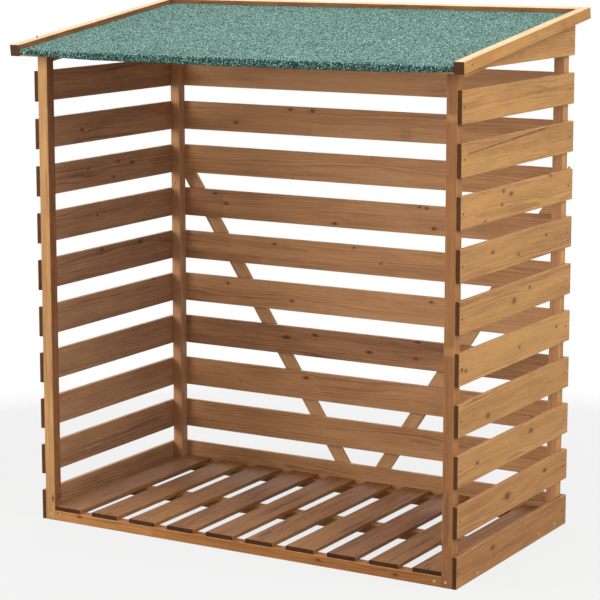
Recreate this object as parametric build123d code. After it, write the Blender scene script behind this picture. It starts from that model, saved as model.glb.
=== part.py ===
from build123d import *

import math
import os

# A slatted timber log store: four posts, slats on the back and both sides, a slatted floor on
# bearers, and a lean-to roof of boards under mineral felt that falls from the back to the front.
# Millimetres. X runs from left to right, Y from front to back and Z up. The origin is on the
# ground, under the middle of the roof's outline.

# Body
body_width = 1392.0
body_depth = 745.0

# Slats of the walls, counted from the ground
slat_width = 90.0
slat_thickness = 12.5
slat_gap = 50.5
slat_rows = 11

# Posts and base
post_side = 33.0
rail_height = 30.0
rail_depth = 33.0
floor_slat_width = 90.0
floor_slat_thickness = 12.5
floor_slat_count = 10
floor_slat_setback = 3.0

# Braces on the back
brace_width = 44.0
brace_thickness = 12.5
brace_foot_height = 20.0
brace_head_height = 1013.0
brace_foot_spacing = 58.0

# Roof
roof_slope = 7.5
top_slat_nose = 4.0
rafter_depth = 30.0
deck_thickness = 17.0
deck_board_count = 8
deck_board_gap = 1.0
deck_nosing = 5.0
deck_side_overhang = 6.0
front_overhang = 62.0
back_overhang = 26.0
batten_width = 30.0
batten_height = 33.0
felt_thickness = 2.3

# Finish of the planed timber and the fit of one piece on the next
arris = 1.0
seat_gap = 0.2
butt_gap = 0.3

# Places worked out from the sizes above
slat_pitch = slat_width + slat_gap
slope = math.radians(roof_slope)
roof_rise = math.sin(slope)
roof_run = math.cos(slope)
half_width = body_width / 2
post_outer_x = half_width - slat_thickness
post_inner_x = post_outer_x - post_side
joist_inner_x = post_inner_x - butt_gap - rail_depth
outline_depth = front_overhang + body_depth + back_overhang + batten_height * roof_rise
front_y = -outline_depth / 2 + batten_height * roof_rise + front_overhang
back_y = front_y + body_depth
back_slat_y = back_y - slat_thickness
front_post_back_y = front_y + post_side
back_post_front_y = back_slat_y - post_side
eaves_height = (slat_rows - 1) * slat_pitch + top_slat_nose
roof_edge_y = front_y - front_overhang
roof_length = (front_overhang + body_depth + back_overhang) / roof_run
deck_half_width = half_width + deck_side_overhang
felt_top = deck_thickness + seat_gap + felt_thickness

# The roof is drawn in its own frame: X across, Y up the slope from the front edge, and Z square
# to the slope from the underside of the deck
roof_frame = Plane(
    origin=(0, roof_edge_y, eaves_height - front_overhang * math.tan(slope)),
    x_dir=(1, 0, 0),
    z_dir=(0, -roof_rise, roof_run),
)


def timber(low, high, grain):
    """A planed length of timber between two corners, with its long edges eased."""
    size = [b - a for a, b in zip(low, high)]
    piece = Pos(*low) * Box(*size, align=(Align.MIN, Align.MIN, Align.MIN))
    return chamfer(piece.edges().filter_by(grain), arris)


def mirrored(piece):
    """The piece and its opposite hand on the other side of the middle."""
    return [piece, mirror(piece, Plane.YZ)]


def under_roof():
    """All the room below the deck, for cutting pieces off along the slope."""
    reach = 4 * (body_width + body_depth + eaves_height)
    below = Box(reach, reach, reach, align=(Align.CENTER, Align.CENTER, Align.MAX))
    return roof_frame * Pos(0, 0, -seat_gap) * below


def posts():
    """Four square posts, their heads cut off along the slope."""
    named = {}
    for place, low_y in (("front", front_y), ("back", back_post_front_y)):
        low = (post_inner_x, low_y, 0)
        high = (post_outer_x, low_y + post_side, 2 * eaves_height)
        right, left = mirrored(timber(low, high, Axis.Z) & under_roof())
        named[f"{place}_left_post"] = left
        named[f"{place}_right_post"] = right
    return named


def side_slats():
    """Slats on the outside of the posts, which run on past the back slats. The top one is cut
    to a wedge along the slope."""
    named = {}
    for row in range(slat_rows):
        low = (post_outer_x, front_y, row * slat_pitch)
        high = (half_width, back_y, row * slat_pitch + slat_width)
        right, left = mirrored(timber(low, high, Axis.Y) & under_roof())
        named[f"left_slat_{row + 1:02d}"] = left
        named[f"right_slat_{row + 1:02d}"] = right
    return named


def back_slats():
    """Slats behind the back posts, between the side slats and level with them."""
    named = {}
    for row in range(slat_rows):
        low = (-post_outer_x, back_slat_y, row * slat_pitch)
        high = (post_outer_x, back_y, row * slat_pitch + slat_width)
        named[f"back_slat_{row + 1:02d}"] = timber(low, high, Axis.X) & under_roof()
    return named


def back_braces():
    """Two braces across the outside of the back slats, from the posts down to the middle. Each
    head is cut plumb, flush with the post, and each foot is cut level."""
    head_x = post_outer_x - post_side / 2
    foot_x = brace_foot_spacing / 2
    run = head_x - foot_x
    rise = brace_head_height - brace_foot_height
    lean = math.degrees(math.atan2(run, rise))
    middle = ((head_x + foot_x) / 2, back_y, (brace_head_height + brace_foot_height) / 2)
    reach = math.hypot(run, rise)
    low = (-brace_width / 2, 0, -reach)
    high = (brace_width / 2, brace_thickness, reach)
    bar = Pos(*middle) * Rot(0, lean, 0) * timber(low, high, Axis.Z)
    room = Pos(0, back_y, brace_foot_height) * Box(
        post_outer_x, brace_thickness, reach, align=(Align.MIN, Align.MIN, Align.MIN)
    )
    return {"back_braces": mirrored(bar & room)}


def front_rail():
    """The rail along the ground between the front posts, flush with their faces."""
    low = (-post_inner_x, front_y, 0)
    high = (post_inner_x, front_y + rail_depth, rail_height)
    return {"front_rail": timber(low, high, Axis.X)}


def floor_bearers():
    """The hidden timbers under the floor: a back rail, a bearer between the posts at each side,
    a joist beside each bearer, and a rail across the middle."""
    rail_back_y = front_y + rail_depth + butt_gap
    back_rail_y = back_slat_y - rail_depth
    middle_y = (front_y + back_slat_y - rail_depth) / 2
    back_rail = timber(
        (-post_inner_x + butt_gap, back_rail_y, 0),
        (post_inner_x - butt_gap, back_slat_y, rail_height),
        Axis.X,
    )
    middle_rail = timber(
        (-joist_inner_x + butt_gap, middle_y, 0),
        (joist_inner_x - butt_gap, middle_y + rail_depth, rail_height),
        Axis.X,
    )
    side_bearer = timber(
        (post_inner_x, front_post_back_y + butt_gap, 0),
        (post_outer_x, back_post_front_y - butt_gap, rail_height),
        Axis.Y,
    )
    joist = timber(
        (joist_inner_x, rail_back_y, 0),
        (post_inner_x - butt_gap, back_rail_y - butt_gap, rail_height),
        Axis.Y,
    )
    return {"floor_bearers": [back_rail, middle_rail, *mirrored(side_bearer), *mirrored(joist)]}


def floor_slats():
    """Floor slats from front to back on the rails, evenly spaced between the posts."""
    floor_width = 2 * post_inner_x
    spacing = (floor_width - floor_slat_width) / (floor_slat_count - 1)
    slats = []
    for index in range(floor_slat_count):
        left_x = -post_inner_x + index * spacing
        low = (left_x, front_y + floor_slat_setback, rail_height)
        high = (left_x + floor_slat_width, back_slat_y, rail_height + floor_slat_thickness)
        slats.append(timber(low, high, Axis.Y))
    return {"floor_slats": slats}


def rafters():
    """A rafter between the posts at each side, its ends cut plumb against them."""
    low = (post_inner_x, 0, -seat_gap - rafter_depth)
    high = (post_outer_x, roof_length, -seat_gap)
    between_posts = Pos(0, front_post_back_y, 0) * Box(
        body_width,
        back_post_front_y - front_post_back_y,
        2 * eaves_height,
        align=(Align.CENTER, Align.MIN, Align.MIN),
    )
    return {"rafters": mirrored(roof_frame * timber(low, high, Axis.Y) & between_posts)}


def nosed_board(low_y, high_y):
    """A deck board with a rounded nose along the top of its front edge, for the felt to fold over."""
    nose = (0, low_y, deck_thickness)
    middle = Pos((low_y + high_y) / 2, deck_thickness / 2)
    section = Plane.YZ * middle * Rectangle(high_y - low_y, deck_thickness)
    eased = chamfer(section.vertices().sort_by_distance(nose)[1:], arris)
    nosed = fillet(eased.vertices().sort_by_distance(nose)[0], deck_nosing)
    return extrude(nosed, deck_half_width, both=True)


def roof_deck():
    """Deck boards from side to side on the rafters and post heads. The front one has the nose."""
    first_y = felt_thickness + seat_gap
    last_y = roof_length - batten_width - seat_gap
    board_pitch = (last_y - first_y + deck_board_gap) / deck_board_count
    boards = [roof_frame * nosed_board(first_y, first_y + board_pitch - deck_board_gap)]
    for index in range(1, deck_board_count):
        low_y = first_y + index * board_pitch
        low = (-deck_half_width, low_y, 0)
        high = (deck_half_width, low_y + board_pitch - deck_board_gap, deck_thickness)
        boards.append(roof_frame * timber(low, high, Axis.X))
    return {"roof_deck": boards}


def roof_felt():
    """One sheet of felt over the deck, folded down over the nose of the front board."""
    inner_bend = deck_nosing + seat_gap
    outer_bend = inner_bend + felt_thickness
    back_edge = roof_length - batten_width - seat_gap
    section = Plane(roof_frame.origin, x_dir=roof_frame.y_dir, z_dir=(1, 0, 0))
    underside = felt_top - felt_thickness
    fold = CenterArc((outer_bend, felt_top - outer_bend), outer_bend, 90, 90)
    inner_fold = CenterArc((outer_bend, felt_top - outer_bend), inner_bend, 90, 90)
    outline = [
        fold,
        Line((outer_bend, felt_top), (back_edge, felt_top)),
        Line((back_edge, felt_top), (back_edge, underside)),
        Line((back_edge, underside), (outer_bend, underside)),
        inner_fold,
        Line((felt_thickness, felt_top - outer_bend), (felt_thickness, 0)),
        Line((felt_thickness, 0), (0, 0)),
        Line((0, 0), (0, felt_top - outer_bend)),
    ]
    sheet = section * make_face(outline)
    return {"roof_felt": extrude(sheet, deck_half_width, both=True)}


def roof_battens():
    """Battens round the back and sides of the deck, which stand proud of the felt."""
    verge_x = deck_half_width + seat_gap
    verge = timber(
        (verge_x, 0, 0), (verge_x + batten_width, roof_length, batten_height), Axis.Y
    )
    rear = timber(
        (-verge_x + butt_gap, roof_length - batten_width, 0),
        (verge_x - butt_gap, roof_length, batten_height),
        Axis.X,
    )
    return {"roof_battens": [roof_frame * piece for piece in (*mirrored(verge), rear)]}


def write_parts():
    """Write one STEP file for each named piece or group of like pieces."""
    os.makedirs("parts", exist_ok=True)
    groups = (
        posts,
        side_slats,
        back_slats,
        back_braces,
        front_rail,
        floor_bearers,
        floor_slats,
        rafters,
        roof_deck,
        roof_felt,
        roof_battens,
    )
    for group in groups:
        for name, piece in group().items():
            if isinstance(piece, list):
                piece = Compound(children=[solid for part in piece for solid in part.solids()])
            export_step(piece, f"parts/{name}.step")


write_parts()
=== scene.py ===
"""Finishes a slatted timber log store: stained boards, mineral felt, nails, screws and a plain stage."""

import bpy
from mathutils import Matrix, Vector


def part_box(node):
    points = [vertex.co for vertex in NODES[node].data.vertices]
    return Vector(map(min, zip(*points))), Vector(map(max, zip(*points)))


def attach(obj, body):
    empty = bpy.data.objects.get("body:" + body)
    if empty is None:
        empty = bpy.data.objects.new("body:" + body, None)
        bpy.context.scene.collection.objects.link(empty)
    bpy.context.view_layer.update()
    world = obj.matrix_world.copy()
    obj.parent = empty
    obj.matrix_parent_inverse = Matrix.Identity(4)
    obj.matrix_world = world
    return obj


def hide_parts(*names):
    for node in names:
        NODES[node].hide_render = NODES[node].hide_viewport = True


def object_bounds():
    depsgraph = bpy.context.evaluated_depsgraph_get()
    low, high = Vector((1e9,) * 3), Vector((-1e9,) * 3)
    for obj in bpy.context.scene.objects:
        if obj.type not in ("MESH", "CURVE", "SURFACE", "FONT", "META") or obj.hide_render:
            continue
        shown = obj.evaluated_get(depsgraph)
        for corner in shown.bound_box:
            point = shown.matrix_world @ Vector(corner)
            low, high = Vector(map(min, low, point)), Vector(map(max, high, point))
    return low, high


bl_info = {
    "name": "Log store finish",
    "version": (1, 0, 0),
    "blender": (4, 5, 0),
    "location": "3D Viewport > Sidebar > Log store",
    "description": "Stained timber, mineral felt, fixings and a plain stage for a slatted log store",
    "category": "Object",
}

import math
import random

import bmesh
import bpy
from bpy.props import FloatProperty, FloatVectorProperty, PointerProperty
from mathutils import Matrix, Vector

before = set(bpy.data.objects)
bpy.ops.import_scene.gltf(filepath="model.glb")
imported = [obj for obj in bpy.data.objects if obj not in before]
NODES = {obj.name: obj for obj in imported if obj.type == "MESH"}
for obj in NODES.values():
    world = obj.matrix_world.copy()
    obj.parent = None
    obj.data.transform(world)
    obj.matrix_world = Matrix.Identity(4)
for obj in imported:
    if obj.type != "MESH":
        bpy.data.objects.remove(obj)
cad_low, cad_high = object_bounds()

MM = 0.001
RIGHT, BACK, UP = Vector((1, 0, 0)), Vector((0, 1, 0)), Vector((0, 0, 1))
SLAT_ROWS = 11
FLOOR_SLATS = 10
DECK_BOARDS = 8
DECK_GAP = 1 * MM
SLAT_WIDTH = (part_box("back_slat_01")[1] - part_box("back_slat_01")[0]).z
POST_WIDTH = (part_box("front_right_post")[1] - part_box("front_right_post")[0]).x

# How timber varies: the spread of tint between boards, the steps of the seed from board to board and
# past a finger joint, and the share of scattered knots
BOARD_SPREAD = 0.12
BOARD_STEP = 5.37
JOINT_STEP = 3.3
KNOT_SHARE = 0.15

# How its marks look, and how little everything shines
FINGER_PITCH = 5.5 * MM
FINGER_LENGTH = 10 * MM
PATCH_BLUR = 7 * MM
RESIN_TINT = 0.5
MATT = 0.2

# What each board shows. Places are in millimetres from the board's middle, along the grain and across
# the face. tint darkens the board and red reddens it. knots are (along, across, radius). joints are
# finger joints, (along, change of tint, change of red). patches are (start, end, lowest, highest,
# change of tint). resin lines run from one place to another. faces are painted light and shade on the
# faces that look one way: (the way a face looks along, across and through the board, change of tint,
# a cast over the colour there). scattered is the share of small knots, and figure is how strongly the
# grain shows.
MARKS = {
    # The patch at the right end of back_slat_11 is painted shade from the roof
    "back_slat_11": dict(tint=0.05, patches=((420, 800, -60, 60, 0.18),)),
    # The tint of back_slat_10 is painted light, lighter against the shade under the roof
    "back_slat_10": dict(tint=-0.27),
    "back_slat_09": dict(
        tint=-0.12, knots=((-255, 35, 5), (-455, -15, 5), (-175, 34, 6)),
        patches=((-170, 130, -60, -8, -0.12), (175, 800, -60, -5, -0.2)),
    ),
    "back_slat_07": dict(
        knots=((-95, -33, 4), (250, -24, 5), (202, 39, 4), (225, 37, 4), (-495, 3, 5)),
        patches=((-800, -510, -60, 60, 0.14), (-60, 330, 10, 60, -0.08)),
    ),
    "back_slat_06": dict(
        knots=((-25, 36, 3), (-315, 26, 4)),
        patches=((-800, -480, 5, 60, 0.12), (-800, -370, -60, -20, 0.14)),
    ),
    "back_slat_05": dict(
        knots=((245, 29, 4), (-490, 25, 4), (-250, -12, 5)), patches=((-100, 800, -60, 60, -0.06),),
    ),
    # The tint of back_slat_04 is painted shade
    "back_slat_04": dict(
        tint=0.31, knots=((-165, 26, 4), (30, -9, 5), (200, 40, 4), (195, -13, 4), (-270, 9, 5)),
    ),
    "left_slat_08": dict(knots=((-130, 13, 4), (30, 20, 4), (105, 10, 5), (5, -25, 4))),
    "left_slat_07": dict(knots=((-85, 6, 4),)),
    "left_slat_06": dict(tint=0.1, knots=((-65, 35, 4), (145, 34, 4))),
    "right_slat_10": dict(
        tint=0.03, figure=0.8, scattered=0.1,
        patches=((-100, 250, 5, 60, 0.06), (-360, -110, -60, -10, -0.05)),
    ),
    "right_slat_09": dict(
        tint=0.15, patches=((-400, 400, -60, -12, -0.06),), resin=(((-350, 14), (205, 42)),),
    ),
    "right_slat_08": dict(
        tint=0.04, knots=((-105, 32, 6), (-55, 19, 6), (215, 42, 5), (-115, -5, 5), (-220, -38, 4)),
    ),
    "right_slat_07": dict(tint=0.12, knots=((-170, 11, 5), (0, -17, 5), (190, 12, 4))),
    "right_slat_06": dict(knots=((-25, -5, 9), (80, 18, 5))),
    "right_slat_05": dict(tint=-0.04, knots=((-330, -8, 5), (-355, -2, 4), (17, -4, 5), (275, 12, 5))),
    "right_slat_04": dict(knots=((-185, -20, 7),)),
    "right_slat_03": dict(tint=0.04, knots=((105, 17, 7), (-250, 1, 5))),
    "right_slat_02": dict(tint=0.08, red=0.2, knots=((-50, 0, 10), (210, 16, 6))),
    "right_slat_01": dict(tint=0.12, red=0.3, knots=((-140, 15, 7),)),
    "front_rail": dict(
        tint=0.04, red=0.45, knots=((-635, 6, 4), (-560, 8, 4), (265, 3, 4), (510, -1, 4)),
        # The front rail's face cast is painted light: a warmer cast on its front face
        joints=((-303, 0.08, 0.2),), faces=(((0, 0, 1), 0.0, (1.0, 0.95, 0.79)),),
    ),
    "front_left_post": dict(
        # Painted shade: the post's inner side is darker
        scattered=0.2, knots=((-640, 10, 5),), faces=(((0, 1, 0), 0.42, (0.97, 0.9, 0.86)),),
    ),
    # The back posts' faces are painted light: a paler, bluer cast on their inner faces and a bluer one on
    # their front faces
    "back_left_post": dict(
        faces=(((0, 1, 0), 0.0, (1.02, 1.1, 1.7)), ((0, 0, -1), 0.02, (1.0, 0.98, 1.15))),
    ),
    "back_right_post": dict(
        faces=(((0, -1, 0), 0.0, (1.02, 1.1, 1.7)), ((0, 0, -1), 0.02, (1.0, 0.98, 1.15))),
    ),
    "front_right_post": dict(
        tint=0.34, red=0.5, figure=0.6, scattered=0.0,
        joints=(
            (-590, 0.02, 0.0), (-277, -0.04, 0.0), (-68, -0.2, -0.2), (-46, 0.18, 0.2),
            (398, 0.03, 0.1), (560, -0.25, -0.3), (578, 0.22, 0.2),
        ),
        # Painted shade: the post's inner side is darker
        faces=(((0, -1, 0), 0.1, (1.0, 0.96, 0.95)),),
    ),
    # The floor slats' tint and red are painted shade
    "floor_slats": dict(tint=0.3, red=0.2),
    # The braces' faces are painted light: their front faces are lighter, with a paler cast
    "back_braces": dict(faces=(((0, 0, 1), -0.15, (1.06, 1.12, 1.35)),)),
    # The battens' faces are painted light and shade: a painted highlight on their tops, painted shade on the
    # rear batten's front face and the verges' inner faces, and painted warm light on their outer faces
    "roof_battens": dict(
        faces=(
            ((0, 1, 0), -0.26, (1.12, 1.48, 2.0)), ((0, 0, -1), 0.45, (0.95, 0.85, 0.8)),
            ((0, 0, 1), 0.0, (0.94, 0.92, 0.76)),
        ),
    ),
}

# Painted light and shade on the faces of all the wall slats: a change of tint and a cast over the colour.
# The sides' inner faces get painted shade and a paler, bluer cast, their outer faces a warmer cast, and
# the back's inner faces a bluer cast.
SIDE_INNER_PAINTED_SHADE = 0.18, (1.07, 1.2, 1.68)
SIDE_OUTER_PAINTED_LIGHT = 0.0, (0.97, 0.97, 0.86)
BACK_INNER_PAINTED_LIGHT = 0.0, (1.04, 1.03, 1.2)

# Nails in metres along the verges and the rear batten, from the middle of each
VERGE_NAILS = -0.37, 0.03, 0.23
REAR_NAILS = -0.62, -0.31, 0.0, 0.31, 0.62

# Screws in millimetres: in the front rail's ends and the front posts' feet, (side, from the post's
# outer face, height), and in the lowest side slats, (from the slat's middle, height)
FRONT_SCREWS = (-1, 17.5, 16.5), (-1, 51, 20), (1, 20, 16), (1, 54.5, 14)
SIDE_SCREWS = (-240, 12.5), (177, 17), (286, 21)

# Rows of the felt's mesh in its hem, its fold and its top, and columns across it
HEM_ROWS, FOLD_ROWS, TOP_ROWS = 6, 8, 90
FELT_COLUMNS = 352

# The soft lamps: where each hangs, its width and its power in watts
SOFTBOXES = {
    "Lamp right": ((5.4, -0.4, 4.2), 4.5, 340),
    "Lamp left": ((-3.0, -3.5, 2.0), 2.6, 165),
    "Lamp front": ((3.2, -4.0, 2.6), 2.0, 30),
    "Lamp above": ((0.0, -0.3, 4.4), 3.0, 85),
    "Lamp behind": ((-2.6, 4.6, 2.8), 3.0, 80),
}

# The camera's place, how far round to the right it stands, how far it looks down, both in degrees,
# and how far its frame is shifted
CAMERA_PLACE = 3.1303, -5.37415, 1.8079
CAMERA_ROUND = 30.212
CAMERA_DOWN = 9.148
CAMERA_SHIFT = -0.07
SENSOR_WIDTH = 36


def srgb(*levels):
    """A colour written from 0 to 255 as it looks on a screen, as linear light."""
    shares = (level / 255 for level in levels)
    return tuple(share / 12.92 if share <= 0.04045 else ((share + 0.055) / 1.055) ** 2.4 for share in shares)


# Settings


def a_colour(name, description, value):
    """A colour that a user can change."""
    return FloatVectorProperty(
        name=name, description=description, default=value, subtype="COLOR", size=3, min=0, max=1
    )


def a_length(name, description, value, low, high):
    """A length in metres that a user can change."""
    return FloatProperty(
        name=name, description=description, default=value, min=low, max=high, unit="LENGTH", precision=4
    )


def a_number(name, description, value, low=0.0):
    """A bare number that a user can change."""
    return FloatProperty(name=name, description=description, default=value, min=low)


class LogStoreTimber(bpy.types.PropertyGroup):
    """The stained softwood."""

    pale: a_colour("Pale wood", "Early wood between the year rings", srgb(204, 158, 104))
    golden: a_colour("Golden wood", "The stain's usual colour", srgb(182, 134, 83))
    brown: a_colour("Brown wood", "Where the wood drank more stain", srgb(138, 95, 60))
    dark: a_colour("Dark wood", "The darkest streaks", srgb(98, 65, 43))
    red: a_colour("Red cast", "Tints the boards cut from redder wood", srgb(244, 214, 190))
    knot: a_colour("Knots", "The wood of a knot", srgb(90, 44, 17))
    end_grain: a_colour("End grain", "Tints the sawn ends, which drink more stain", srgb(120, 105, 94))
    ring_width: a_length("Ring width", "Wood grown in one year", 4.2 * MM, 0.5 * MM, 10 * MM)
    grain_depth: a_length("Grain depth", "Height of the raised grain", 0.3 * MM, 0.0, 2 * MM)


class LogStoreFelt(bpy.types.PropertyGroup):
    """The mineral felt of the roof."""

    white: a_colour("White granules", "The few lightest granules", srgb(168, 196, 184))
    pale: a_colour("Pale granules", "The light granules", srgb(98, 142, 131))
    green: a_colour("Green granules", "The usual granules", srgb(52, 95, 86))
    deep: a_colour("Deep granules", "The dark granules", srgb(26, 52, 48))
    bitumen: a_colour("Bitumen", "The sheet between its granules and at its edges", srgb(26, 30, 29))
    granule: a_length("Granule", "Width of one granule", 2.0 * MM, 0.5 * MM, 6 * MM)
    bend: a_length("Bend", "Radius of the fold over the front board", 7.5 * MM, 2.5 * MM, 12 * MM)
    thickness: a_length("Thickness", "Thickness of the sheet", 2.3 * MM, 1 * MM, 5 * MM)
    sag: a_length("Sag", "How far the hem hangs lower at its middle", 3.5 * MM, 0.0, 8 * MM)


class LogStoreFixings(bpy.types.PropertyGroup):
    """The nails and screws."""

    nail: a_colour("Nails", "Colour of the nail heads", srgb(32, 23, 18))
    screw: a_colour("Screws", "Colour of the zinc screw heads", srgb(190, 175, 140))
    nail_head: a_length("Nail head", "Diameter of a nail head", 6.2 * MM, 1 * MM, 8 * MM)
    screw_head: a_length("Screw head", "Diameter of a screw head", 8.5 * MM, 3 * MM, 15 * MM)
    screw_rise: a_length("Screw rise", "How far a screw head stands up", 0.9 * MM, 0.2 * MM, 3 * MM)


class LogStoreStage(bpy.types.PropertyGroup):
    """The floor, the light and the camera."""

    floor: a_colour("Floor", "Colour of the floor", srgb(170, 170, 170))
    sky: a_number("Sky", "Strength of the light from all round", 0.2)
    lamps: a_number("Lamps", "Strength of the soft lamps together", 1.0)
    lens: a_number("Lens", "Focal length in millimetres on a 36 mm sensor", 128.0, 10.0)


# Shader building


def sign(operation):
    """What a sign does between two things that flow."""
    return lambda *values: maths(operation, *values)


class Flow:
    """A number, vector or colour that flows through a shader tree, with the usual signs for sums."""

    __add__, __sub__, __abs__ = sign("ADD"), sign("SUBTRACT"), sign("ABSOLUTE")
    __mul__, __truediv__, __pow__ = sign("MULTIPLY"), sign("DIVIDE"), sign("POWER")

    def __init__(self, socket):
        self.socket = socket
        self.tree = socket.id_data


def first_flow(*values):
    """The first of some values that flows."""
    return next(value for value in values if isinstance(value, Flow))


def feed(node, feeds):
    """Gives a node's inputs their values, or links them to what flows in."""
    for name, value in dict(feeds).items():
        if isinstance(value, Flow):
            node.id_data.links.new(value.socket, node.inputs[name])
        else:
            node.inputs[name].default_value = value


def add(tree, kind, feeds=(), **settings):
    """A new shader node of a tree, with its settings made and its inputs fed."""
    node = tree.nodes.new("ShaderNode" + kind)
    for name, value in settings.items():
        setattr(node, name, value)
    feed(node, feeds)
    return node


def flow(tree, kind, output, feeds=(), **settings):
    """What flows out of a new node."""
    return Flow(add(tree, kind, feeds, **settings).outputs[output])


def maths(operation, *values):
    """A sum on numbers, or on vectors where the first that flows is a vector or a colour."""
    first = first_flow(*values)
    kind = "VectorMath" if first.socket.type in ("VECTOR", "RGBA") else "Math"
    return flow(first.tree, kind, 0, enumerate(values), operation=operation)


def scaled(value, factor, offset):
    """A value times a factor, with an offset added."""
    if isinstance(value, Flow):
        return maths("MULTIPLY_ADD", value, factor, offset)
    return value * factor + offset


def dot(one, other):
    """How far one vector reaches along another."""
    feeds = enumerate((one, other))
    return flow(one.tree, "VectorMath", "Value", feeds, operation="DOT_PRODUCT")


def own_point(tree):
    """A point's place in the object's own frame, in metres, which is the store's frame too."""
    return flow(tree, "TexCoord", "Object")


def join(*values):
    """Three numbers as a vector."""
    if not any(isinstance(value, Flow) for value in values):
        return values
    return flow(first_flow(*values).tree, "CombineXYZ", "Vector", enumerate(values))


def split(vector):
    """A vector's three numbers."""
    node = add(vector.tree, "SeparateXYZ", {"Vector": vector})
    return [Flow(socket) for socket in node.outputs]


def rise(value, low, high):
    """A smooth step from 0 at low to 1 at high. It falls where low is the greater."""
    start, end = (1.0, 0.0) if low > high else (0.0, 1.0)
    low, high = sorted((low, high))
    feeds = {"Value": value, "From Min": low, "From Max": high, "To Min": start, "To Max": end}
    return flow(value.tree, "MapRange", "Result", feeds, interpolation_type="SMOOTHSTEP")


def noise(place, stretch, detail=2.0, roughness=0.5):
    """Noise about one unit wide, of a place that is stretched first."""
    feeds = {"Vector": place * stretch, "Scale": 1.0, "Detail": detail, "Roughness": roughness}
    return flow(place.tree, "TexNoise", "Fac", feeds)


def mixed(share, low, high, blend_type="MIX"):
    """A colour between two others."""
    factor, first, second, result = 0, 6, 7, 2
    low, high = (value if isinstance(value, Flow) else (*value, 1) for value in (low, high))
    feeds = {factor: share, first: low, second: high}
    tree = first_flow(share, low, high).tree
    return flow(tree, "Mix", result, feeds, data_type="RGBA", blend_type=blend_type)


def between(share, low, high):
    """A vector between two others."""
    factor, first, second, result = 0, 4, 5, 1
    feeds = {factor: share, first: low, second: high}
    return flow(share.tree, "Mix", result, feeds, data_type="VECTOR")


def ramp(share, stops, interpolation="LINEAR"):
    """A colour read from stops along a scale from 0 to 1."""
    node = add(share.tree, "ValToRGB", {"Fac": share})
    node.color_ramp.interpolation = interpolation
    points = node.color_ramp.elements
    while len(points) < len(stops):
        points.new(0.5)
    for point, (place, colour) in zip(points, stops):
        point.position = place
        point.color = (*colour, 1)
    return Flow(node.outputs["Color"])


def new_group(name, vectors, numbers, outputs):
    """A new shader group, what flows in, and the node that takes what flows out."""
    tree = bpy.data.node_groups.new(name, "ShaderNodeTree")
    inputs = {**dict.fromkeys(vectors, "Vector"), **dict.fromkeys(numbers, "Float")}
    for in_out, sockets in (("INPUT", inputs), ("OUTPUT", outputs)):
        for label, kind in sockets.items():
            tree.interface.new_socket(label, in_out=in_out, socket_type="NodeSocket" + kind)
    given = tree.nodes.new("NodeGroupInput").outputs
    return tree, {label: Flow(given[label]) for label in inputs}, tree.nodes.new("NodeGroupOutput")


def new_material(name):
    """A material with a bare shader."""
    material = bpy.data.materials.new(name)
    material.use_nodes = True
    tree = material.node_tree
    tree.nodes.clear()
    shader = add(tree, "BsdfPrincipled", {"Specular IOR Level": MATT})
    add(tree, "OutputMaterial", {"Surface": Flow(shader.outputs["BSDF"])})
    return material, tree, shader


def raised(shader, height, depth):
    """Feeds the shader's normal from a height, given the depth in metres."""
    feeds = {"Height": height, "Distance": depth, "Strength": 1.0}
    feed(shader, {"Normal": flow(shader.id_data, "Bump", "Normal", feeds)})


# Stained timber
#
# Each board has its own frame: along the grain, across the face and through the thickness, measured
# from its middle. Marks is a vector that gathers what the knots do there: how far they push the grain
# aside, how much is knot, and how much is the darker wood round it.


def knot_group():
    """Adds one knot to the marks."""
    numbers = "Along", "Across", "Radius"
    tree, given, made = new_group("Knot", ("Place", "Marks"), numbers, {"Marks": "Vector"})
    along, across, _ = split(given["Place"])
    bend, knot, halo = split(given["Marks"])
    wobble = noise(given["Place"], (130, 190, 0), 3.0, 0.65)
    beside = across - given["Across"]
    before = along - given["Along"]

    def distance(stretch):
        """How many radii away the knot's middle is, where the knot is stretched along the grain."""
        return maths("SQRT", (before / stretch) ** 2.0 + beside ** 2.0) / given["Radius"]

    near = distance(1.25) + scaled(wobble, 1.5, -0.75)
    far = distance(2.4)
    pushed = beside * maths("MINIMUM", 1.0, far ** -2.0) * -1.0
    rim = rise(near, 0.4, 0.9) * rise(near, 1.3, 1.0) * rise(wobble, 0.35, 0.6)
    fill = scaled(rise(near, 1.2, 0.7), 0.62, rim * 0.38)
    ring = rise(far, 1.9, 0.5) * 0.8
    marks = join(bend + pushed, maths("MAXIMUM", knot, fill), maths("MAXIMUM", halo, ring))
    feed(made, {"Marks": marks})
    return tree


def scattered_knots_group(knot):
    """Adds small knots here and there along a board, at most one in each cell of the face."""
    vectors, numbers = ("Place", "Marks"), ("Seed", "Share")
    tree, given, made = new_group("Scattered knots", vectors, numbers, {"Marks": "Vector"})
    cell = 0.26, 0.085, 1.0
    start = join(given["Seed"], given["Seed"] * 1.7, 0.0)
    feeds = {"Vector": given["Place"] / cell + start, "Scale": 1.0, "Randomness": 0.75}
    found = add(tree, "TexVoronoi", feeds, voronoi_dimensions="2D").outputs
    along, across, _ = split((Flow(found["Position"]) - start) * cell)
    chance, size, _ = split(Flow(found["Color"]))
    is_there = maths("LESS_THAN", chance, given["Share"])
    radius = maths("MAXIMUM", scaled(size ** 2.0, 5 * MM, 1.6 * MM) * is_there, 0.01 * MM)
    feed(made, {"Marks": with_knot(knot, given["Place"], given["Marks"], along, across, radius)})


def with_knot(knot, place, marks, along, across, radius):
    """The marks with one more knot, given by its middle and radius."""
    feeds = {"Place": place, "Marks": marks, "Along": along, "Across": across, "Radius": radius}
    return flow(place.tree, "Group", "Marks", feeds, node_tree=knot)


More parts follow.
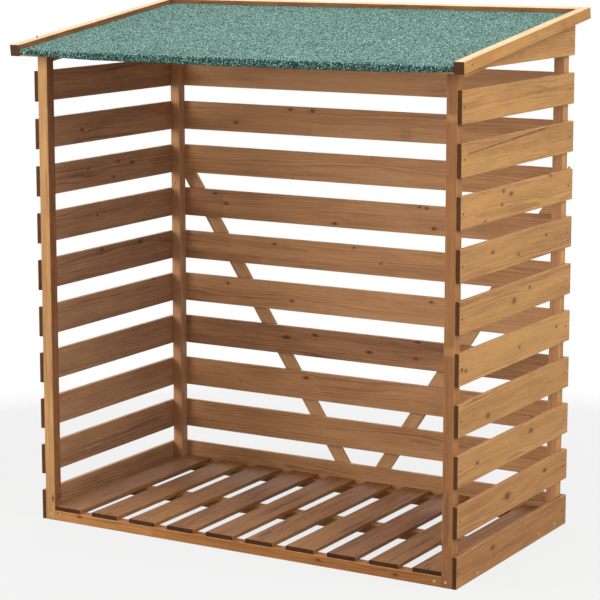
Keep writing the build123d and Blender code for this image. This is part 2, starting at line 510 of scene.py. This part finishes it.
def timber_group(look):
    """Colour, roughness and height of stained softwood at a place in a board."""
    vectors, numbers = ("Place", "Facing", "Marks", "Cast"), ("Seed", "Tint", "Figure")
    outputs = {"Color": "Color", "Roughness": "Float", "Height": "Float"}
    tree, given, made = new_group("Stained timber", vectors, numbers, outputs)
    along, across, through = split(given["Place"])
    bend, knot, halo = split(given["Marks"])
    seed = given["Seed"]
    across = across + bend
    seeded = join(along, across, through) + join(seed, seed, seed) * (3.1, 1.7, 2.3)

    # Year rings round a pith that lies beside the board and wanders along it
    drawn = flow(tree, "TexWhiteNoise", "Color", {"W": seed}, noise_dimensions="1D")
    drawn_across, drawn_through, _ = split(drawn)
    drift = scaled(noise(seeded, (1.6, 0, 0), 1.0), 70 * MM, -35 * MM)
    from_across = across - scaled(drawn_across, 120 * MM, -60 * MM) + drift
    from_through = through + scaled(drawn_through, 45 * MM, 14 * MM)
    reach = maths("SQRT", from_across ** 2.0 + from_through ** 2.0)
    year = maths("FRACT", reach / look.ring_width + noise(seeded, (3.2, 26, 26)) * 1.8)
    late = rise(year, 0.35, 0.85) * rise(year, 1.0, 0.94)
    late = late * rise(noise(seeded, (2.4, 18, 18), 1.0), 0.25, 0.7)

    # What darkens the wood, each with its weight. The start brings their usual sum to about 0, and the
    # wood is then golden.
    fibres = noise(seeded, (9, 260, 260), 4.0, 0.75)
    streaks = noise(seeded, (2.6, 190, 190), 3.0, 0.65)
    bands = noise(seeded, (0.9, 36, 36), 2.0, 0.5)
    clouds = noise(seeded, (5.5, 16, 16), 4.0, 0.6)
    start, golden, brown = -1.05, 0.36, 0.80
    figure = scaled(fibres, 0.84, scaled(late, 0.28, start))
    figure = scaled(bands, 0.34, scaled(streaks, 0.42, figure))
    figure = scaled(halo, 0.30, scaled(clouds, 0.46, figure))
    darkness = scaled(figure, given["Figure"], given["Tint"] + golden)
    stops = (0.0, look.pale), (golden, look.golden), (brown, look.brown), (1.0, look.dark)
    colour = ramp(darkness, stops) * given["Cast"]

    # Knots, sawn ends and eased edges
    colour = mixed(knot * 0.96, colour, look.knot)
    end, side_across, side_through = split(abs(given["Facing"]))
    is_end = rise(end, 0.6, 0.9)
    colour = mixed(is_end, colour, mixed(1.0, colour, look.end_grain, "MULTIPLY"))
    # The eased edges are paler, partly as wear and partly as a painted highlight
    is_edge = rise(side_across * side_through, 0.2, 0.45)
    worn_and_highlit = is_edge * rise(noise(seeded, (30, 90, 90)), 0.3, 0.6)
    colour = mixed(worn_and_highlit * 0.75, colour, look.pale)

    roughness = scaled(is_end, 0.25, scaled(fibres, 0.24, 0.46))
    height = scaled(knot, 0.4, scaled(late, 0.35, fibres))
    feed(made, {"Color": colour, "Roughness": roughness, "Height": height})


def timber_groups(look):
    """The groups that every board's material uses, made once."""
    groups = bpy.data.node_groups
    if "Stained timber" not in groups:
        scattered_knots_group(knot_group())
        timber_group(look)
    return groups["Knot"], groups["Scattered knots"], groups["Stained timber"]


class Board:
    """How a board lies: its directions along the grain, across the face and through the thickness, and
    how far it reaches along each. A node of like boards has copies side by side across, with a gap
    between them, or is mirrored left and right."""

    def __init__(self, node, along, across, mirrored=False, copies=1, gap=0.0, belongs=lambda corner: True):
        corners = [vertex.co for vertex in NODES[node].data.vertices if belongs(vertex.co)]
        if mirrored:
            corners = [corner for corner in corners if corner.x > 0]
        self.node = node
        self.axes = along, across, along.cross(across)
        self.low = [min(corner.dot(axis) for corner in corners) for axis in self.axes]
        self.high = [max(corner.dot(axis) for corner in corners) for axis in self.axes]
        reaches = zip(self.axes, self.low, self.high)
        self.middle = sum((axis * (low + high) / 2 for axis, low, high in reaches), Vector())
        self.mirrored = mirrored
        self.copies = copies
        self.pitch = (self.high[1] - self.low[1] + gap) / copies
        self.seed = random.Random(node).uniform(1, 90)


def board_place(tree, board):
    """Where a point of the board is in the board's own frame, which way its surface faces there, and
    the board's number among its like."""
    point = own_point(tree)
    facing = flow(tree, "NewGeometry", "True Normal")
    number = 0.0
    if board.mirrored:
        number = maths("SIGN", split(point)[0])
        flip = join(number, 1.0, 1.0)
        point, facing = point * flip, facing * flip
    point = point - board.middle
    place = [dot(point, axis) for axis in board.axes]
    if board.copies > 1:
        count = place[1] / board.pitch + (board.copies - 1) / 2
        number = maths("ROUND", count)
        place[1] = (count - number) * board.pitch
    return join(*place), join(*(dot(facing, axis) for axis in board.axes)), number


def fingered(place):
    """How far along the board a point is, moved to and fro across the board like the fingers of a
    glued joint."""
    along, across, _ = split(place)
    return along - maths("PINGPONG", across, FINGER_PITCH / 2) * (2 * FINGER_LENGTH / FINGER_PITCH)


def patch_share(place, patch):
    """1 inside a patch of the face, given by its ends along and its edges across, and 0 outside."""
    start, end, low, high = (reach * MM for reach in patch)
    along, across, _ = split(place)
    along = along + scaled(noise(place, (12, 140, 140)), 24 * MM, -12 * MM)
    inside = rise(along, start - PATCH_BLUR, start) * rise(along, end + PATCH_BLUR, end)
    return inside * (rise(across, low - PATCH_BLUR, low) * rise(across, high + PATCH_BLUR, high))


def resin_share(place, line):
    """1 on a thin line between two places on the face, and 0 away from it."""
    start, end = (Vector((along, across, 0)) * MM for along, across in line)
    length = (end - start).length
    direction = (end - start).normalized()
    from_start = place - start
    here = dot(from_start, direction)
    beside = abs(dot(from_start, Vector((-direction.y, direction.x, 0))))
    beside = beside + scaled(noise(place, (30, 60, 0)), 2.4 * MM, -1.2 * MM)
    thin = rise(beside, 3.0 * MM, 0.8 * MM)
    return thin * (rise(here, 0, 0.03) * rise(here, length, length - 0.06))


def dress(board, other=None, is_other=None, **marks):
    """Gives a node its own stained timber, with its marks. Where its boards lie two ways, is_other
    tells from a point's x and y whether it is on a board that lies the other way, as 1 or 0."""
    material, tree, shader = new_material("Timber " + board.node)
    where = board_place(tree, board)
    if other:
        x, y, _ = split(own_point(tree))
        share = is_other(x, y)
        pairs = list(zip(where, board_place(tree, other)))[:2]
        where = *(between(share, *pair) for pair in pairs), share + maths("SIGN", x)
    wood_shader(shader, board.seed, where, **marks, **MARKS.get(board.node, {}))
    NODES[board.node].data.materials.clear()
    NODES[board.node].data.materials.append(material)


def wood_shader(
    shader, own_seed, where, tint=0.0, red=0.0, figure=1.0, scattered=KNOT_SHARE,
    knots=(), joints=(), patches=(), resin=(), faces=(),
):
    """Feeds a shader with stained timber. The marks are described at MARKS."""
    tree, look = shader.id_data, bpy.context.scene.log_store_timber
    knot, scatter, timber = timber_groups(look)
    place, facing, number = where
    seed = scaled(number, BOARD_STEP, own_seed)
    spread = flow(tree, "TexWhiteNoise", "Value", {"W": seed}, noise_dimensions="1D")
    tint = scaled(spread, BOARD_SPREAD, tint - BOARD_SPREAD / 2)
    if joints:
        along = fingered(place)
    for joint_along, tint_change, red_change in joints:
        past = maths("GREATER_THAN", along, joint_along * MM)
        tint = scaled(past, tint_change, tint)
        red = scaled(past, red_change, red)
        seed = scaled(past, JOINT_STEP, seed)
    for *patch, tint_change in patches:
        tint = scaled(patch_share(place, patch), tint_change, tint)
    cast = join(*(scaled(red, level - 1, 1.0) for level in look.red))
    # Painted light and shade: faces that look one way are darkened or lightened and given a cast
    for way, tint_change, painted_light_cast in faces:
        looks = rise(dot(facing, way), 0.6, 0.9)
        tint = scaled(looks, tint_change, tint)
        cast = between(looks, (1, 1, 1), painted_light_cast) * cast
    for line in resin:
        tint = scaled(resin_share(place, line), RESIN_TINT, tint)
    marks = 0.0, 0.0, 0.0
    if scattered > 0:
        feeds = {"Place": place, "Marks": marks, "Seed": seed, "Share": scattered}
        marks = flow(tree, "Group", "Marks", feeds, node_tree=scatter)
    for middle_and_radius in knots:
        marks = with_knot(knot, place, marks, *(length * MM for length in middle_and_radius))
    feeds = {
        "Place": place, "Facing": facing, "Marks": marks, "Seed": seed, "Tint": tint, "Cast": cast,
        "Figure": figure,
    }
    wood = add(tree, "Group", feeds, node_tree=timber).outputs
    feed(shader, {"Base Color": Flow(wood["Color"]), "Roughness": Flow(wood["Roughness"])})
    raised(shader, Flow(wood["Height"]), look.grain_depth)


# Places read from the solids


def wall(side):
    """The names of a wall's slats, from the ground up."""
    return [f"{side}_slat_{row:02d}" for row in range(1, SLAT_ROWS + 1)]


def middle_of(node):
    """The middle of a node's box."""
    low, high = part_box(node)
    return (low + high) / 2


def roof_axes():
    """Up the slope of the roof, and square to it, from the largest face on top of the felt."""
    faces = NODES["roof_felt"].data.polygons
    square = max((face for face in faces if face.normal.z > 0.5), key=lambda face: face.area).normal
    return square.cross(RIGHT).normalized(), square.copy()


def brace_board():
    """The braces, which lie along the largest of their narrow faces."""
    faces = NODES["back_braces"].data.polygons
    right = [face for face in faces if face.center.x > 0]
    narrow = [face for face in right if abs(face.normal.y) < 0.1 and face.normal.x > 0.1]
    along = BACK.cross(max(narrow, key=lambda face: face.area).normal).normalized()
    return Board("back_braces", along, along.cross(BACK), mirrored=True)


def brace_x(brace, height):
    """How far from the middle the centre line of a brace is at a height."""
    along = brace.axes[0]
    return brace.middle.x + along.x * (height - brace.middle.z) / along.z


def floor_board():
    """The floor slats, which are as wide as the wall's and leave equal gaps."""
    low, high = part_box("floor_slats")
    gap = (high.x - low.x - FLOOR_SLATS * SLAT_WIDTH) / (FLOOR_SLATS - 1)
    return Board("floor_slats", BACK, RIGHT, copies=FLOOR_SLATS, gap=gap)


def batten_boards():
    """The rear batten, the verges, and how far out from the middle the verges start."""
    slope, square = roof_axes()
    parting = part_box("roof_felt")[1].x + 0.05 * MM
    rear = Board("roof_battens", -RIGHT, square, belongs=lambda corner: abs(corner.x) < parting)
    verge = Board("roof_battens", slope, square, mirrored=True, belongs=lambda corner: corner.x > parting)
    return rear, verge, parting


# Fixings
#
# Each place is a point on the wood, the way out of it, and how far off the point a hand may drive.


def side_nail_places():
    """One nail through each end of each side slat, into the middle of the post."""
    for row in zip(wall("left"), wall("right")):
        for node, side in zip(row, (-1, 1)):
            low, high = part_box(node)
            face_x = high.x if side == 1 else low.x
            height = (low.z + min(high.z, low.z + SLAT_WIDTH)) / 2
            for post in ("front_right_post", "back_right_post"):
                yield Vector((face_x, middle_of(post).y, height)), RIGHT * side, 3 * MM


def back_nail_places():
    """One nail from behind through each end of each back slat, unless a brace lies over it."""
    brace = brace_board()
    brace_low, brace_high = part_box("back_braces")
    x = middle_of("front_right_post").x
    for node in wall("back"):
        height = middle_of(node).z
        under_brace = brace_low.z < height < brace_high.z and abs(x - brace_x(brace, height)) < 40 * MM
        if not under_brace:
            for side in (-1, 1):
                yield Vector((side * x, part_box(node)[1].y, height)), BACK, 3 * MM


def brace_nail_places():
    """One nail through each brace into each slat that it crosses, clear of its ends."""
    brace = brace_board()
    clear = 15 * MM
    low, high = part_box("back_braces")
    for node in wall("back"):
        height = middle_of(node).z
        if low.z + clear < height < high.z - clear:
            for side in (-1, 1):
                yield Vector((side * brace_x(brace, height), high.y, height)), BACK, 4 * MM


def floor_nail_places():
    """One nail through each floor slat into each of the three rails under it."""
    floor = floor_board()
    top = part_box("floor_slats")[1].z
    front_y = middle_of("front_right_post").y
    back_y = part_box("floor_bearers")[1].y - POST_WIDTH / 2
    for slat in range(floor.copies):
        x = floor.middle.x + (slat - (floor.copies - 1) / 2) * floor.pitch
        for y in (front_y, (front_y + back_y) / 2, back_y):
            yield Vector((x, y, top)), UP, 4 * MM


def roof_nail_places():
    """Nails through the outsides of the verges, and through the rear batten from behind."""
    rear, verge, _ = batten_boards()
    slope = verge.axes[0]
    sunk = 0.15 * MM
    outer_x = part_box("roof_battens")[1].x - sunk
    for along in VERGE_NAILS:
        point = verge.middle + slope * along
        for side in (-1, 1):
            yield Vector((side * outer_x, point.y, point.z)), RIGHT * side, 2 * MM
    for x in REAR_NAILS:
        yield rear.middle + RIGHT * x + slope * (rear.high[2] - rear.low[2]) / 2, slope, 3 * MM


def base_screw_places():
    """Screws in the ends of the front rail, the feet of the front posts and the lowest side slats."""
    post_low, post_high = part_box("front_right_post")
    for side, inwards, height in FRONT_SCREWS:
        yield Vector((side * (post_high.x - inwards * MM), post_low.y, height * MM)), -BACK, 0.0
    outer_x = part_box("right_slat_01")[1].x
    middle_y = middle_of("right_slat_01").y
    for side in (-1, 1):
        for along, height in SIDE_SCREWS:
            yield Vector((side * outer_x, middle_y + along * MM, height * MM)), RIGHT * side, 0.0


def post_screw_places():
    """A screw through each back post into the head of its brace."""
    brace = brace_board()
    post_low, post_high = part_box("front_right_post")
    post_x = (post_low.x + post_high.x) / 2
    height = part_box("back_braces")[0].z
    while brace_x(brace, height) < post_x:
        height += 1 * MM
    for side in (-1, 1):
        yield Vector((side * (post_x + 4 * MM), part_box("back_right_post")[0].y, height)), -BACK, 0.0


def ring(radius, height, sides):
    """Points round a circle."""
    turns = (2 * math.pi * index / sides for index in range(sides))
    return [Vector((radius * math.cos(turn), radius * math.sin(turn), height)) for turn in turns]


def cross(size, height):
    """Points round the outline of a cross recess, two to each of its sixteen edges."""
    arm, half_arm, waist = 0.62 * size, 0.13 * size, 0.2 * size
    corner = (arm, 0), (arm, half_arm), (waist, waist), (half_arm, arm)
    turns = (Matrix.Rotation(math.pi / 2 * quarter, 3, "Z") for quarter in range(4))
    outline = [turn @ Vector((x, y, height)) for turn in turns for x, y in corner]
    edges = zip(outline, outline[1:] + outline[:1])
    return [point for start, end in edges for point in (start, (start + end) / 2)]


def nail_rings(fixings):
    """The rings of a nail's flat head, from the wood up."""
    section = (1.0, -0.1 * MM), (1.0, 0.1 * MM), (0.84, 0.17 * MM), (0.3, 0.2 * MM)
    return [ring(share * fixings.nail_head / 2, height, 16) for share, height in section]


def screw_rings(fixings):
    """The rings of a screw's head, from the wood up, over its rim and down into its cross recess."""
    radius, top = fixings.screw_head / 2, fixings.screw_rise
    section = (1.0, 0.0), (1.0, 0.4), (0.9, 0.85), (0.72, 1.0)
    rings = [ring(share * radius, level * top, 32) for share, level in section]
    recess = cross(radius, top)
    return [*rings, recess, [Vector((0.7 * point.x, 0.7 * point.y, 0.12 * top)) for point in recess]]


def make_heads(name, rings, places, seed, material):
    """One piece of many like heads, each driven a little off its place and turned."""
    drawn = random.Random(seed)
    mesh = bmesh.new()
    for point, out, slack in places:
        aside = out.orthogonal().normalized()
        for way in (aside, out.cross(aside)):
            point = point + way * drawn.uniform(-slack, slack)
        stand = Matrix.Translation(point) @ out.to_track_quat("Z", "Y").to_matrix().to_4x4()
        stand = stand @ Matrix.Rotation(drawn.uniform(0, 2 * math.pi), 4, "Z")
        loops = [[mesh.verts.new(stand @ corner) for corner in loop] for loop in rings]
        for low, high in zip(loops, loops[1:]):
            for index in range(len(low)):
                mesh.faces.new((low[index - 1], low[index], high[index], high[index - 1]))
        mesh.faces.new(loops[0][::-1])
        mesh.faces.new(loops[-1])
    piece = new_piece(name, mesh, material)
    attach(piece, "root")


def new_piece(name, mesh, material):
    """An object made from a finished mesh."""
    data = bpy.data.meshes.new(name)
    mesh.to_mesh(data)
    mesh.free()
    data.materials.append(material)
    return new_object(name, data)


def new_object(name, data):
    """An object in the scene."""
    thing = bpy.data.objects.new(name, data)
    bpy.context.scene.collection.objects.link(thing)
    return thing


def metal_material(name, colour, metallic, roughness):
    """Worn metal, with specks of stain and dirt."""
    material, tree, shader = new_material(name)
    dirt = rise(noise(own_point(tree), (700, 700, 700), 3.0), 0.45, 0.75)
    feeds = {
        "Base Color": mixed(dirt * 0.6, colour, [0.35 * level for level in colour]),
        "Roughness": scaled(dirt, 0.3, roughness),
        "Metallic": metallic,
    }
    feed(shader, feeds)
    raised(shader, dirt, 0.05 * MM)
    return material


# Felt


def felt_rows(look, front, back, top):
    """The felt's outer section from the hem over the fold to the back edge: for each row, its place up
    the slope and square to it, and the way out of the sheet there. The rows lie closest by the fold."""
    fold_start = top - look.bend
    start = front + look.bend
    rows = [(front, fold_start * index / HEM_ROWS, -1.0, 0.0) for index in range(HEM_ROWS)]
    for index in range(FOLD_ROWS + 1):
        turn = math.pi / 2 * index / FOLD_ROWS
        out, up = -math.cos(turn), math.sin(turn)
        rows.append((start + look.bend * out, fold_start + look.bend * up, out, up))
    for index in range(1, TOP_ROWS + 1):
        rows.append((start + (back - start) * (index / TOP_ROWS) ** 1.4, top, 0.0, 1.0))
    return rows


def hem_drop(look, across):
    """How far the hem moves up at a place from -1 at its left end to 1 at its right: it curls up at
    both ends, sags at the middle and waves a little."""
    curl = 6 * MM * across ** 6
    wave = 0.6 * MM * math.sin(23 * across) * math.cos(9 * across)
    return curl - look.sag * (1 - across ** 2) + wave


def make_felt(look, material):
    """The sheet of felt, with a wavy hem, a soft fold and a slightly uneven top."""
    slope, square = roof_axes()
    board = Board("roof_felt", RIGHT, slope)
    half = board.high[0]
    floor_level, top = board.low[2], board.high[2]
    drawn = random.Random(4)
    mesh = bmesh.new()
    outer, inner = [], []
    for place, level, out, up in felt_rows(look, board.low[1], board.high[1], top - floor_level):
        outer.append([])
        inner.append([])
        hanging = max(0.0, 1 - level / (top - floor_level - look.bend))
        flat = 1.0 if up == 1.0 else 0.35
        for column in range(FELT_COLUMNS + 1):
            across = 2 * column / FELT_COLUMNS - 1
            wave = math.sin(5.1 * across + 9 * place) * math.sin(11 * across - 4 * place)
            proud = 0.35 * MM * (1 + wave) * flat + drawn.uniform(0, 0.25) * MM
            drop = hanging * (hem_drop(look, across) + drawn.uniform(-0.5, 0.5) * MM)
            lean = hanging * 0.8 * MM * (1 + math.sin(7 * across + 1))
            spot = RIGHT * half * across + slope * (place - lean) + square * (floor_level + level + drop)
            way = slope * out + square * up
            outer[-1].append(mesh.verts.new(spot + way * proud))
            inner[-1].append(mesh.verts.new(spot - way * look.thickness))
    section = outer + inner[::-1]
    for low, high in zip(section, section[1:] + section[:1]):
        for column in range(FELT_COLUMNS):
            mesh.faces.new((low[column], low[column + 1], high[column + 1], high[column]))
    for end in (0, -1):
        for row in range(len(outer) - 1):
            mesh.faces.new((outer[row][end], outer[row + 1][end], inner[row + 1][end], inner[row][end]))
    bmesh.ops.recalc_face_normals(mesh, faces=mesh.faces)
    for face in mesh.faces:
        face.smooth = True
    return new_piece("felt_sheet", mesh, material)


def felt_material(look):
    """Mineral granules in bitumen, darker over the fold. The bare cut edges also stand for painted shade at
    the verges.
    """
    material, tree, shader = new_material("Mineral felt")
    slope, square = roof_axes()
    point = own_point(tree)
    facing = flow(tree, "NewGeometry", "Normal")
    folded = rise(dot(facing, slope), -0.35, -0.9)
    under = rise(dot(facing, square), -0.3, -0.7)
    found = add(tree, "TexVoronoi", {"Vector": point, "Scale": 1 / look.granule}).outputs

    # Each granule has a shade of its own. Clusters, streaks and wide clouds of them move it, by weight.
    pick = split(Flow(found["Color"]))[0]
    for stretch, detail, roughness, weight in (
        ((260, 260, 260), 2.0, 0.6, 1.6),
        ((360, 90, 240), 1.0, 0.5, 2.4),
        ((9, 9, 9), 2.0, 0.5, 0.16),
    ):
        pick = pick + scaled(noise(point, stretch, detail, roughness), weight, -weight / 2)
    stops = (0.0, look.bitumen), (0.09, look.deep), (0.34, look.green), (0.66, look.pale), (0.93, look.white)
    # The fold is drawn darker
    colour = ramp(pick - folded * 0.2, stops, "CONSTANT")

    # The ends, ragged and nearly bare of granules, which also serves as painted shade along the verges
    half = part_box("roof_felt")[1].x
    ragged = scaled(noise(point, (120, 120, 120)), 5 * MM, -2.5 * MM)
    outwards = abs(split(point)[0]) + ragged
    bare = rise(outwards, half - 5 * MM, half - 2 * MM) * 0.8
    colour = mixed(maths("MAXIMUM", under, bare), colour, look.bitumen)
    feed(shader, {"Base Color": colour, "Roughness": 0.88})
    raised(shader, maths("SUBTRACT", 1.0, Flow(found["Distance"])), 0.4 * look.granule)
    return material


# Stage


def seen(tree):
    """1 for what the camera sees, straight or in a mirror or through glass, and 0 for light that
    falls on the object."""
    path = add(tree, "LightPath").outputs
    camera, glossy, glass = (Flow(path[f"Is {ray} Ray"]) for ray in ("Camera", "Glossy", "Transmission"))
    return maths("MAXIMUM", camera, maths("MAXIMUM", glossy, glass))


def make_floor(stage):
    """A wide floor that shows white, apart from the shadow on it."""
    reach, depth = 30.0, 0.2 * MM
    mesh = bpy.data.meshes.new("floor")
    corners = (-reach, -reach, 0), (reach, -reach, 0), (reach, reach, 0), (-reach, reach, 0)
    mesh.from_pydata(corners, [], [(0, 1, 2, 3)])
    floor = new_object("floor", mesh)
    floor.location.z = -depth
    material, tree, shader = new_material("Floor")
    feed(shader, {"Base Color": (*stage.floor, 1), "Roughness": 0.9})
    white = flow(tree, "Emission", "Emission", {"Strength": 1.0})
    away = flow(tree, "VectorMath", "Value", {0: own_point(tree)}, operation="LENGTH")
    clear = maths("MAXIMUM", rise(away, 0.8, 2.2), 0.8)
    feeds = {0: clear * seen(tree), 1: Flow(shader.outputs["BSDF"]), 2: white}
    output = next(node for node in tree.nodes if node.type == "OUTPUT_MATERIAL")
    feed(output, {"Surface": flow(tree, "MixShader", "Shader", feeds)})
    mesh.materials.append(material)


def make_sky(scene, stage):
    """An even soft light from all round, which shows white."""
    scene.world = bpy.data.worlds.new("Studio")
    scene.world.use_nodes = True
    tree = scene.world.node_tree
    tree.nodes.clear()
    light, white = (
        flow(tree, "Background", "Background", {"Color": (1, 1, 1, 1), "Strength": strength})
        for strength in (stage.sky, 1.0)
    )
    surface = flow(tree, "MixShader", "Shader", {0: seen(tree), 1: light, 2: white})
    add(tree, "OutputWorld", {"Surface": surface})


def hang(name, data, place, back):
    """A lamp or camera at a place, with its back turned one way."""
    thing = new_object(name, data)
    thing.location = place
    thing.rotation_euler = back.to_track_quat("Z", "Y").to_euler()
    return thing


def make_lamp(name, place, width, power):
    """One broad soft lamp that faces the middle of the store."""
    lamp = bpy.data.lights.new(name, "AREA")
    lamp.energy = power
    lamp.size = width
    hang(name, lamp, place, place - (cad_low + cad_high) / 2)


def make_camera(scene, stage):
    """The camera, a long way off to the right, in front, and a little above the roof."""
    azimuth, elevation = math.radians(CAMERA_ROUND), math.radians(CAMERA_DOWN)
    level = math.cos(elevation)
    back = Vector((math.sin(azimuth) * level, -math.cos(azimuth) * level, math.sin(elevation)))
    lens = bpy.data.cameras.new("Camera")
    lens.lens = stage.lens
    lens.sensor_width = SENSOR_WIDTH
    lens.shift_y = CAMERA_SHIFT
    scene.camera = hang("Camera", lens, Vector(CAMERA_PLACE), back)


# Operators


class Shared:
    """What the operators share. The panel lists them in the order in which they are written."""

    bl_options = {"REGISTER", "UNDO"}


class LOGSTORE_OT_posts(Shared, bpy.types.Operator):
    """Stains the four posts"""

    bl_idname = "log_store.posts"
    bl_label = "Posts"

    def execute(self, context):
        for place in ("front_left", "front_right", "back_left", "back_right"):
            dress(Board(place + "_post", UP, RIGHT))
        return {"FINISHED"}


class LOGSTORE_OT_side_slats(Shared, bpy.types.Operator):
    """Stains the slats of both sides, with painted light and shade on their faces"""

    bl_idname = "log_store.side_slats"
    bl_label = "Side slats"

    def execute(self, context):
        for side, inward in (("left", 1), ("right", -1)):
            # Painted shade on the inner faces and painted warm light on the outer faces
            faces = ((0, 0, inward), *SIDE_INNER_PAINTED_SHADE), ((0, 0, -inward), *SIDE_OUTER_PAINTED_LIGHT)
            for node in wall(side):
                dress(Board(node, BACK, UP), faces=faces)
        return {"FINISHED"}


class LOGSTORE_OT_back_slats(Shared, bpy.types.Operator):
    """Stains the slats of the back, with painted light on their inner faces"""

    bl_idname = "log_store.back_slats"
    bl_label = "Back slats"

    def execute(self, context):
        # Painted light on the inner faces: a bluer cast
        faces = (((0, 0, 1), *BACK_INNER_PAINTED_LIGHT),)
        for node in wall("back"):
            dress(Board(node, RIGHT, UP), faces=faces)
        return {"FINISHED"}


class LOGSTORE_OT_braces(Shared, bpy.types.Operator):
    """Stains the two braces"""

    bl_idname = "log_store.braces"
    bl_label = "Braces"

    def execute(self, context):
        dress(brace_board())
        return {"FINISHED"}


class LOGSTORE_OT_base(Shared, bpy.types.Operator):
    """Stains the front rail, the bearers and the floor slats"""

    bl_idname = "log_store.base"
    bl_label = "Base"

    def execute(self, context):
        dress(Board("front_rail", RIGHT, UP))
        dress(floor_board())
        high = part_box("floor_bearers")[1]
        side, back = high.x - 2 * POST_WIDTH, high.y - POST_WIDTH
        across = Board("floor_bearers", RIGHT, UP, belongs=lambda corner: corner.y > back)
        along = Board(
            "floor_bearers", BACK, UP, mirrored=True,
            belongs=lambda corner: corner.x > side and corner.y < back,
        )
        dress(across, along, lambda x, y: maths("GREATER_THAN", abs(x), side) * maths("LESS_THAN", y, back))
        return {"FINISHED"}


class LOGSTORE_OT_roof_timber(Shared, bpy.types.Operator):
    """Stains the rafters, the deck and the battens"""

    bl_idname = "log_store.roof_timber"
    bl_label = "Roof timber"

    def execute(self, context):
        slope, square = roof_axes()
        dress(Board("rafters", slope, square, mirrored=True))
        dress(Board("roof_deck", RIGHT, slope, copies=DECK_BOARDS, gap=DECK_GAP))
        rear, verge, parting = batten_boards()
        dress(rear, verge, lambda x, y: maths("GREATER_THAN", abs(x), parting))
        return {"FINISHED"}


class LOGSTORE_OT_felt(Shared, bpy.types.Operator):
    """Lays the sheet of mineral felt"""

    bl_idname = "log_store.felt"
    bl_label = "Roof felt"

    def execute(self, context):
        look = context.scene.log_store_felt
        sheet = make_felt(look, felt_material(look))
        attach(sheet, "root")
        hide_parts("roof_felt")
        return {"FINISHED"}


class LOGSTORE_OT_nails(Shared, bpy.types.Operator):
    """Drives the nails of the slats, the floor, the braces and the roof"""

    bl_idname = "log_store.nails"
    bl_label = "Nails"

    def execute(self, context):
        fixings = context.scene.log_store_fixings
        material = metal_material("Nail steel", fixings.nail, 0.1, 0.6)
        rings = nail_rings(fixings)
        make_heads("side_nails", rings, side_nail_places(), 11, material)
        make_heads("back_nails", rings, back_nail_places(), 12, material)
        make_heads("brace_nails", rings, brace_nail_places(), 13, material)
        make_heads("floor_nails", rings, floor_nail_places(), 14, material)
        make_heads("roof_nails", rings, roof_nail_places(), 15, material)
        return {"FINISHED"}


class LOGSTORE_OT_screws(Shared, bpy.types.Operator):
    """Drives the screws of the base and the back posts"""

    bl_idname = "log_store.screws"
    bl_label = "Screws"

    def execute(self, context):
        fixings = context.scene.log_store_fixings
        material = metal_material("Zinc", fixings.screw, 0.25, 0.35)
        rings = screw_rings(fixings)
        make_heads("base_screws", rings, base_screw_places(), 16, material)
        make_heads("post_screws", rings, post_screw_places(), 17, material)
        return {"FINISHED"}


class LOGSTORE_OT_stage(Shared, bpy.types.Operator):
    """Sets the floor, the light and the camera"""

    bl_idname = "log_store.stage"
    bl_label = "Stage"

    def execute(self, context):
        stage = context.scene.log_store_stage
        make_floor(stage)
        make_sky(context.scene, stage)
        for name, (place, width, power) in SOFTBOXES.items():
            make_lamp(name, Vector(place), width, power * stage.lamps)
        make_camera(context.scene, stage)
        context.scene.view_settings.view_transform = "Standard"
        return {"FINISHED"}


# Panel and registration

PIECES = Shared.__subclasses__()
SETTINGS = {
    "log_store_timber": LogStoreTimber,
    "log_store_felt": LogStoreFelt,
    "log_store_fixings": LogStoreFixings,
    "log_store_stage": LogStoreStage,
}


class LOGSTORE_PT_finish(bpy.types.Panel):
    """The log store's settings and pieces"""

    bl_label = "Log store"
    bl_space_type = "VIEW_3D"
    bl_region_type = "UI"
    bl_category = "Log store"

    def draw(self, context):
        for name, group in SETTINGS.items():
            box = self.layout.box()
            box.label(text=group.__doc__)
            for setting in group.__annotations__:
                box.prop(getattr(context.scene, name), setting)
        for piece in PIECES:
            self.layout.operator(piece.bl_idname)


CLASSES = *SETTINGS.values(), *PIECES, LOGSTORE_PT_finish


def register():
    """Adds the settings, the operators and the panel."""
    for group in CLASSES:
        bpy.utils.register_class(group)
    for name, group in SETTINGS.items():
        setattr(bpy.types.Scene, name, PointerProperty(type=group))


def unregister():
    """Takes them away again."""
    for name in SETTINGS:
        delattr(bpy.types.Scene, name)
    for group in reversed(CLASSES):
        bpy.utils.unregister_class(group)


def main():
    """Finishes every piece in turn."""
    register()
    bpy.ops.log_store.posts()
    bpy.ops.log_store.side_slats()
    bpy.ops.log_store.back_slats()
    bpy.ops.log_store.braces()
    bpy.ops.log_store.base()
    bpy.ops.log_store.roof_timber()
    bpy.ops.log_store.felt()
    bpy.ops.log_store.nails()
    bpy.ops.log_store.screws()
    bpy.ops.log_store.stage()


if __name__ == "__main__":
    main()
